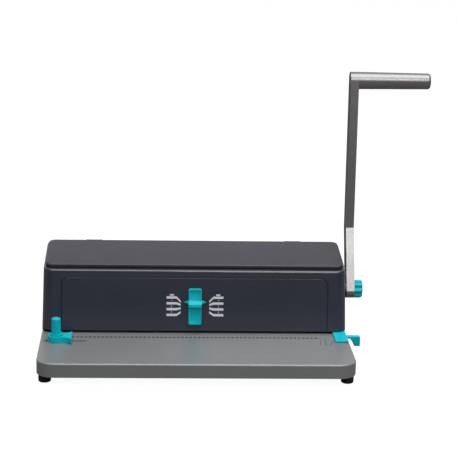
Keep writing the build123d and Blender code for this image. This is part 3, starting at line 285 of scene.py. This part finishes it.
def softened(node, name, edge, segments=2, recess=None):
    """A merged copy of a CAD node with its flat faces joined up and its sharp edges rounded.

    recess = (facing, least area, rim width, depth) sinks the large faces that look that way.
    """
    form = bmesh.new()
    form.from_mesh(nodes[node].data)
    bmesh.ops.remove_doubles(form, verts=form.verts, dist=WELD)
    bmesh.ops.dissolve_limit(
        form,
        angle_limit=FLAT,
        use_dissolve_boundaries=False,
        verts=form.verts,
        edges=form.edges,
        delimit={"NORMAL"},
    )
    if recess:
        facing, least, rim, depth = recess
        looking = [f for f in form.faces if f.normal.dot(facing) > 0.99]
        for face in [f for f in looking if f.calc_area() > least]:
            bmesh.ops.inset_region(
                form, faces=[face], thickness=rim, depth=-depth, use_even_offset=True
            )
    piece = finish_piece(form, name, body_of_node[node], finishes[slots[node]])
    rounded(piece, edge, segments)
    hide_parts(node)
    return piece


def lay_flat_shapes(outlines, name, place, material):
    """Flat shapes of print and of painted shade on the fixed body: outlines in millimetres on a
    plane.
    """
    form = bmesh.new()
    for outline in outlines:
        corners = [form.verts.new((x * MM, y * MM, 0)) for x, y in outline]
        form.faces.new(corners)
    made = bmesh.ops.extrude_face_region(form, geom=list(form.faces))
    raised = [g for g in made["geom"] if isinstance(g, bmesh.types.BMVert)]
    bmesh.ops.translate(form, verts=raised, vec=(0, 0, SKIN))
    bmesh.ops.transform(form, matrix=place, verts=form.verts)
    finish_piece(form, name, "root", material)


def stroke(x0, y0, x1, y1, width):
    """Outline of a straight printed line."""
    along = Vector((x1 - x0, y1 - y0)).normalized()
    across = Vector((-along.y, along.x)) * width / 2
    start, end = Vector((x0, y0)), Vector((x1, y1))
    return [start - across, end - across, end + across, start + across]


# ---------------------------------------------------------------- reference planes
RAKE = math.radians(7.9)  # the front panel leans back by this
table_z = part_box("base_pan")[1].z
table_plane = Matrix.Translation((0, 0, table_z))
panel_plane = table_plane @ Matrix.Rotation(math.radians(90) - RAKE, 4, "X")
panel_facing = Vector((0, -math.cos(RAKE), math.sin(RAKE)))

# ---------------------------------------------------------------- softened CAD pieces
softened("rubber_feet", "foot_pads", 0.8 * MM, 3)
softened("housing", "housing_shell", 0.35 * MM)
softened("front_panel", "front_fascia", 0.3 * MM)
softened("lid", "comb_lid", 0.4 * MM)
softened("hub_spacer", "lever_hub_ring", 0.3 * MM)
softened("star_knob", "comb_knob", 0.6 * MM, 3)
SLIDER_RIM = 1.3 * MM
SLIDER_SINK = 0.5 * MM
SLIDER_NARROWING = 0.91  # the slider's body against the CAD's; its pointers keep their tips
POINTER_END = 3 * MM
slider_recess = (panel_facing, 60 * MM**2, SLIDER_RIM, SLIDER_SINK)
size_slider = softened("size_slider", "comb_size_slider", 0.3 * MM, recess=slider_recess)
pointer_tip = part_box("size_slider")[1].x
for vertex in size_slider.data.vertices:
    if abs(vertex.co.x) < pointer_tip - POINTER_END:
        vertex.co.x *= SLIDER_NARROWING
softened("depth_adjuster", "margin_lever", 0.5 * MM, 3)
softened("edge_guide", "paper_side_guide", 0.7 * MM, 3)
softened("guide_knob", "side_guide_post", 0.35 * MM)
softened("chip_tray", "waste_tray", 0.3 * MM)

# ---------------------------------------------------------------- return springs, merged into one piece
joints = {joint["name"]: joint for joint in frame["record"]["behaviour"]["joints"]}
form = bmesh.new()
form.from_mesh(nodes["return_springs"].data)
bmesh.ops.remove_doubles(form, verts=form.verts, dist=WELD)
spring_steel = finishes["spring_steel"]
coils = finish_piece(form, "punch_return_coils", "root", spring_steel)
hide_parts("return_springs")
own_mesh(coils)

# ---------------------------------------------------------------- lever bar and handle
shaft_spot = Vector(joints["lever_swing"]["pos_m"][1:])
bar_low, bar_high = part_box("lever_arm")
handle_low, handle_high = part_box("lever_grip")
handle_spot = ((handle_low + handle_high) / 2).yz
bend_spot = Vector((74.8, 134.0)) * MM  # Y and Z of the bend in the bar
BAR_HALF = 10.0 * MM
BAR_EDGE = 0.7 * MM
FOOT_ROUND = 6.0 * MM
FOOT_CORNER = BAR_HALF - FOOT_ROUND
BOLT_HOLE = 4.2 * MM
SHAFT_HOLE = 10.0 * MM
ARC_STEP = math.radians(9)
lower_run = (bend_spot - shaft_spot).normalized()
upper_run = (handle_spot - bend_spot).normalized()


def frontward(run):
    """The side of a run along the bar that faces the user."""
    return Vector((-run.y, run.x))


def arc(centre, radius, start, end):
    """Points round a centre in the side view from one angle to another."""
    count = max(2, round(abs(end - start) / ARC_STEP))
    turns = [start + (end - start) * i / count for i in range(count + 1)]
    return [centre + Vector((math.cos(t), math.sin(t))) * radius for t in turns]


lower_front, upper_front = frontward(lower_run), frontward(upper_run)
mitre = (lower_front + upper_front) * BAR_HALF / (1 + lower_front.dot(upper_front))
front_angle = math.atan2(upper_front.y, upper_front.x)
outline = [bend_spot + mitre]
outline += arc(handle_spot, BAR_HALF, front_angle, front_angle - math.pi)
outline.append(bend_spot - mitre)
foot_angle = math.atan2(-lower_front.y, -lower_front.x)
for side in (-1, 1):
    corner = shaft_spot + (lower_front * side - lower_run) * FOOT_CORNER
    outline += arc(corner, FOOT_ROUND, foot_angle, foot_angle - math.pi / 2)
    foot_angle -= math.pi / 2
square = [lower_run * a + lower_front * b for a, b in ((1, 1), (1, -1), (-1, -1), (-1, 1))]
shaft_ring = [shaft_spot + corner * SHAFT_HOLE / 2 for corner in square]
bolt_ring = arc(handle_spot, BOLT_HOLE, 0, 2 * math.pi)[:-1]
form = bmesh.new()
for ring in (outline, shaft_ring, bolt_ring):
    spots = [form.verts.new((bar_low.x, p.x, p.y)) for p in ring]
    for first, second in zip(spots, spots[1:] + spots[:1]):
        form.edges.new((first, second))
bmesh.ops.triangle_fill(form, use_beauty=True, use_dissolve=False, edges=form.edges)
made = bmesh.ops.extrude_face_region(form, geom=list(form.faces))
far = [g for g in made["geom"] if isinstance(g, bmesh.types.BMVert)]
bmesh.ops.translate(form, verts=far, vec=(bar_high.x - bar_low.x, 0, 0))
bmesh.ops.dissolve_limit(form, angle_limit=FLAT, verts=form.verts, edges=form.edges)
bar = finish_piece(form, "lever_bar", "lever", finishes["lever_paint"], smooth=15)
rounded(bar, BAR_EDGE, 3)
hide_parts("lever_arm")

HANDLE_END = 9.2 * MM  # radius of the handle at its free end
END_ROUND = 3.2 * MM
BOLT_DEPTH = 61 * MM
handle_start, handle_stop = handle_low.x, handle_high.x
bolt_stop = handle_start + BOLT_DEPTH
handle_profile = [(handle_start, BOLT_HOLE), (handle_start, (handle_high.z - handle_low.z) / 2)]
round_centre = Vector((handle_stop - END_ROUND, HANDLE_END - END_ROUND))
handle_profile += arc(round_centre, END_ROUND, math.pi / 2, 0)
handle_profile += [(handle_stop, 0), (bolt_stop, 0), (bolt_stop, BOLT_HOLE)]
form = bmesh.new()
ring = [form.verts.new((x, handle_spot.x, handle_spot.y + r)) for x, r in handle_profile]
around = [form.edges.new(pair) for pair in zip(ring, ring[1:] + ring[:1])]
bmesh.ops.spin(
    form,
    geom=ring + around,
    cent=(0, *handle_spot),
    axis=(1, 0, 0),
    angle=2 * math.pi,
    steps=64,
    use_merge=True,
)
bmesh.ops.remove_doubles(form, verts=form.verts, dist=WELD)
handle = finish_piece(form, "lever_handle", "lever", finishes["lever_paint"])
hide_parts("lever_grip")

# ---------------------------------------------------------------- printed comb size scales
SCALE_OUTER = 32.6
SCALE_BEND = 21.2
SCALE_INNER = 16.3
BAR = 1.38  # half height of a bar
TIP = 0.85 * BAR  # and of its inner end
bar_rows = ((41.75, 36.8), (35.0, 33.2), (28.2, 29.3), (21.5, 24.8))  # outer and inner heights
tick = [(28.9, 43.9), (24.2, 43.9), (24.2, 45.6), (28.9, 45.6)]
scale_bars = []
for side in (-1, 1):
    for outer, inner in bar_rows:
        bar = [
            (SCALE_OUTER, outer + BAR),
            (SCALE_BEND, outer + BAR),
            (SCALE_INNER, inner + TIP),
            (SCALE_INNER, inner - TIP),
            (SCALE_BEND, outer - BAR),
            (SCALE_OUTER, outer - BAR),
        ]
        scale_bars.append([(side * x, y) for x, y in bar][::side])
    scale_bars.append([(side * x, y) for x, y in tick][::side])
lay_flat_shapes(scale_bars, "comb_size_scale", panel_plane, silver_print)

# strokes of a numeral in a cell one wide and two high: top, middle, foot, then four uprights
SEGMENTS = {
    "T": (0, 2, 1, 2),
    "M": (0, 1, 1, 1),
    "F": (0, 0, 1, 0),
    "a": (0, 1, 0, 2),
    "b": (1, 1, 1, 2),
    "c": (0, 0, 0, 1),
    "d": (1, 0, 1, 1),
}
NUMERALS = {1: "bd", 2: "TbMcF", 3: "TbMdF", 4: "aMbd", 5: "TaMdF", 6: "TaMcdF"}
NUMERAL_SIZE = 0.85
NUMERAL_STROKE = 0.3
NUMERAL_X = 27.0
gap_heights = (38.4, 31.6, 24.85)  # middles of the gaps between the bars
scale_figures = []
for side, figures in ((-1, (1, 2, 3)), (1, (4, 5, 6))):
    for figure, height in zip(figures, gap_heights):
        left, foot = side * NUMERAL_X - NUMERAL_SIZE / 2, height - NUMERAL_SIZE
        for part in NUMERALS[figure]:
            x0, y0, x1, y1 = [NUMERAL_SIZE * v for v in SEGMENTS[part]]
            ends = (left + x0, foot + y0, left + x1, foot + y1)
            scale_figures.append(stroke(*ends, NUMERAL_STROKE))
lay_flat_shapes(scale_figures, "comb_size_figures", panel_plane, silver_print)

# ---------------------------------------------------------------- table marks: print lines, and painted shade over the holes
# dark dashes over the table's through-holes: painted shade standing in for the dark inside the
# holes
MARK_PITCH = 14.2875 / 3
MARKS_EACH_SIDE = 29
MARK_HALF = 1.35
MARK_FRONT, MARK_REAR = -16.4, -13.0
dots = []
for i in range(-MARKS_EACH_SIDE, MARKS_EACH_SIDE + 1):
    left, right = i * MARK_PITCH - MARK_HALF, i * MARK_PITCH + MARK_HALF
    dots.append([(left, MARK_FRONT), (right, MARK_FRONT), (right, MARK_REAR), (left, MARK_REAR)])
lay_flat_shapes(dots, "painted_perforation_shade", table_plane, dark_print_and_hole_shade)
guide_lines = [  # x and y of both ends, then the width
    stroke(143, -21.6, 141, -39.7, 0.5),
    stroke(148, -21.5, 147.5, -43, 0.7),
    stroke(157, -23, 152, -39.5, 0.5),
    stroke(139, -15.5, 151, -15.5, 0.4),
]
lay_flat_shapes(guide_lines, "table_marks", table_plane, dark_print_and_hole_shade)

# ---------------------------------------------------------------- floor
FLOOR_REACH = 6.0
FLOOR_COLOUR = (0.17, 0.165, 0.16, 1)
FLOOR_GLOW = 0.95  # what the camera sees added to the lit floor, so that it ends up white
floor_form = bmesh.new()
bmesh.ops.create_grid(floor_form, x_segments=1, y_segments=1, size=FLOOR_REACH)
floor_mesh = bpy.data.meshes.new("studio_floor")
floor_form.to_mesh(floor_mesh)
floor_form.free()
floor = bpy.data.objects.new("studio_floor", floor_mesh)
bpy.context.scene.collection.objects.link(floor)
floor_paint = bpy.data.materials.new("studio_floor_white")
floor_paint.use_nodes = True
tree = floor_paint.node_tree
matt = tree.nodes["Principled BSDF"]
matt.inputs["Base Color"].default_value = FLOOR_COLOUR
matt.inputs["Roughness"].default_value = 0.9
matt.inputs["Specular IOR Level"].default_value = 0.0
glow = tree.nodes.new("ShaderNodeEmission")
rays = tree.nodes.new("ShaderNodeLightPath")
seen = tree.nodes.new("ShaderNodeMath")
seen.operation = "MULTIPLY"
seen.inputs[1].default_value = FLOOR_GLOW
tree.links.new(rays.outputs["Is Camera Ray"], seen.inputs[0])
tree.links.new(seen.outputs["Value"], glow.inputs["Strength"])
both = tree.nodes.new("ShaderNodeAddShader")
tree.links.new(matt.outputs["BSDF"], both.inputs[0])
tree.links.new(glow.outputs["Emission"], both.inputs[1])
tree.links.new(both.outputs["Shader"], tree.nodes["Material Output"].inputs["Surface"])
floor_mesh.materials.append(floor_paint)

# ---------------------------------------------------------------- light
ROOM_FRONT, ROOM_REAR = 0.10, 0.50  # light from the room in front of and behind the object
world = bpy.data.worlds.new("studio_room")
bpy.context.scene.world = world
world.use_nodes = True
tree = world.node_tree
room = tree.nodes["Background"]
room.inputs["Color"].default_value = (1, 1, 1, 1)
rays = tree.nodes.new("ShaderNodeLightPath")
heading = tree.nodes.new("ShaderNodeTexCoord")
split = tree.nodes.new("ShaderNodeSeparateXYZ")
tree.links.new(heading.outputs["Generated"], split.inputs["Vector"])
backdrop = tree.nodes.new("ShaderNodeMapRange")
backdrop.inputs["From Min"].default_value = -0.25
backdrop.inputs["From Max"].default_value = 0.55
backdrop.inputs["To Min"].default_value = ROOM_FRONT
backdrop.inputs["To Max"].default_value = ROOM_REAR
tree.links.new(split.outputs["Y"], backdrop.inputs["Value"])
level = tree.nodes.new("ShaderNodeMix")
level.inputs["B"].default_value = 1.0
tree.links.new(rays.outputs["Is Camera Ray"], level.inputs["Factor"])
tree.links.new(backdrop.outputs["Result"], level.inputs["A"])
tree.links.new(level.outputs["Result"], room.inputs["Strength"])


def softbox(name, place, target, size, power):
    """A rectangular area lamp aimed at a point, with its power in watts."""
    lamp = bpy.data.lights.new(name, "AREA")
    lamp.shape = "RECTANGLE"
    lamp.size, lamp.size_y = size
    lamp.energy = power
    holder = bpy.data.objects.new(name, lamp)
    holder.location = place
    holder.rotation_mode = "QUATERNION"
    holder.rotation_quaternion = (Vector(target) - Vector(place)).to_track_quat("-Z", "Y")
    bpy.context.scene.collection.objects.link(holder)


softbox("overhead_softbox", (0.1, -0.35, 1.8), (0, 0, 0.05), (2.2, 1.5), 36)
softbox("front_top_softbox", (0.45, -1.55, 1.2), (0.15, 0.05, 0.1), (0.9, 0.42), 9.0)

# ---------------------------------------------------------------- camera
CAMERA_PLACE = Vector((-57.4, -1711.7, 584.1)) * MM
TILT, TURN, ROLL = math.radians(15.41), math.radians(2.83), math.radians(1.20)
heading_y, heading_x = math.cos(TURN), math.sin(TURN)
forward = Vector((heading_x * math.cos(TILT), heading_y * math.cos(TILT), -math.sin(TILT)))
level_right = Vector((heading_y, -heading_x, 0))
level_up = level_right.cross(forward)
right = level_right * math.cos(ROLL) + level_up * math.sin(ROLL)
up = level_up * math.cos(ROLL) - level_right * math.sin(ROLL)
lens = bpy.data.cameras.new("studio_camera")
lens.sensor_width = 36.0
lens.lens = 123.18
lens.shift_x = 0.0200
lens.shift_y = 0.0715
camera = bpy.data.objects.new("studio_camera", lens)
camera.matrix_world = Matrix(
    (
        (right.x, up.x, -forward.x, CAMERA_PLACE.x),
        (right.y, up.y, -forward.y, CAMERA_PLACE.y),
        (right.z, up.z, -forward.z, CAMERA_PLACE.z),
        (0, 0, 0, 1),
    )
)
bpy.context.scene.collection.objects.link(camera)
bpy.context.scene.camera = camera
bpy.context.scene.view_settings.view_transform = "Standard"
